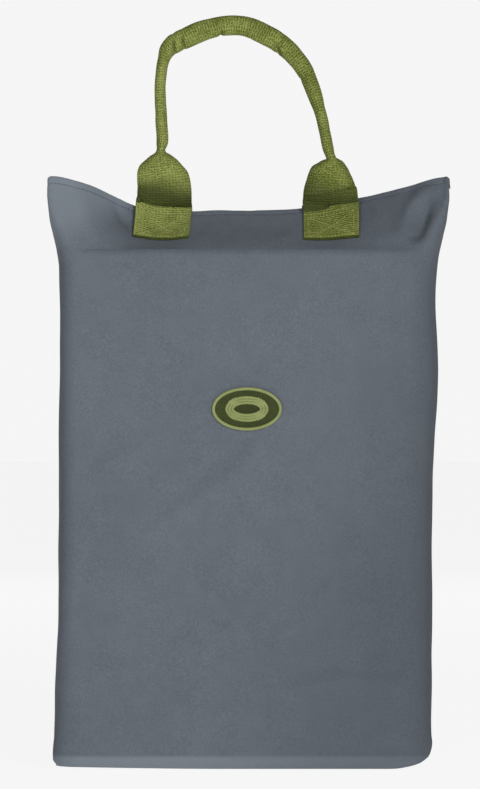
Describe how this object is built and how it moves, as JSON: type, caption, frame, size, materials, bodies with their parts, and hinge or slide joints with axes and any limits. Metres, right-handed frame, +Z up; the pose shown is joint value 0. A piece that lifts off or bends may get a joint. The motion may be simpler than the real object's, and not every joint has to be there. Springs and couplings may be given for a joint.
{
  "type": "rope storage bag",
  "caption": "Tall boxy cloth rope bag with a soft pinched collar at its mouth, loose stiffener boards inside and webbing carry handles.",
  "frame": {"origin": "middle of the underside of the base, on the floor", "axes": "+Z up, -Y towards the front face that carries the badge, +X to the right as the front is seen"},
  "size_m": [0.364, 0.2189, 0.6866],
  "materials": {
    "grey_cloth": "smooth tight weave",
    "binding_tape": "woven tape",
    "black_board": "satin sheet",
    "olive_webbing": "ribbed webbing",
    "olive_thread": "bonded thread",
    "filler_cord": "braided cord",
    "badge_twill": "twill",
    "badge_thread": "embroidery"
  },
  "bodies": {
    "bag": {"back_collar_left_wing": "grey_cloth", "back_collar_right_wing": "grey_cloth", "back_left_seam_binding": "binding_tape", "back_left_wing_hem": "grey_cloth", "back_panel": "grey_cloth", "back_right_seam_binding": "binding_tape", "back_right_wing_hem": "grey_cloth", "back_stiffener_board": "black_board", "badge_border": "olive_thread", "badge_figure": "badge_thread", "badge_ground": "badge_twill", "base_panel": "grey_cloth", "base_stiffener_board": "black_board", "front_collar_left_wing": "grey_cloth", "front_collar_right_wing": "grey_cloth", "front_left_seam_binding": "binding_tape", "front_left_wing_hem": "grey_cloth", "front_panel": "grey_cloth", "front_right_seam_binding": "binding_tape", "front_right_wing_hem": "grey_cloth", "front_stiffener_board": "black_board", "left_gusset": "grey_cloth", "left_gusset_hem": "grey_cloth", "left_stiffener_board": "black_board", "right_gusset": "grey_cloth", "right_gusset_hem": "grey_cloth", "right_stiffener_board": "black_board"},
    "front_collar": {"front_collar": "grey_cloth", "front_collar_hem": "grey_cloth", "front_left_box_stitching": "olive_thread", "front_left_webbing_end": "olive_webbing", "front_right_box_stitching": "olive_thread", "front_right_webbing_end": "olive_webbing"},
    "front_handle": {"front_grip_core": "filler_cord", "front_grip_stitching": "olive_thread", "front_handle_webbing": "olive_webbing"},
    "back_collar": {"back_collar": "grey_cloth", "back_collar_hem": "grey_cloth", "back_left_box_stitching": "olive_thread", "back_left_webbing_end": "olive_webbing", "back_right_box_stitching": "olive_thread", "back_right_webbing_end": "olive_webbing"},
    "back_handle": {"back_grip_core": "filler_cord", "back_grip_stitching": "olive_thread", "back_handle_webbing": "olive_webbing"}
  },
  "joints": [
    {"name": "front_collar_fold", "type": "hinge", "parent": "bag", "child": "front_collar", "pos_m": [0, -0.0494, 0.471], "axis": [1, 0, 0], "range_deg": [0, 54]},
    {"name": "back_collar_fold", "type": "hinge", "parent": "bag", "child": "back_collar", "pos_m": [0, 0.0494, 0.471], "axis": [-1, 0, 0], "range_deg": [0, 54]},
    {"name": "front_handle_swing", "type": "hinge", "parent": "front_collar", "child": "front_handle", "pos_m": [0, -0.008, 0.5155], "axis": [1, 0, 0], "range_deg": [0, 110]},
    {"name": "back_handle_swing", "type": "hinge", "parent": "back_collar", "child": "back_handle", "pos_m": [0, 0.008, 0.5155], "axis": [1, 0, 0], "range_deg": [0, 110]}
  ]
}
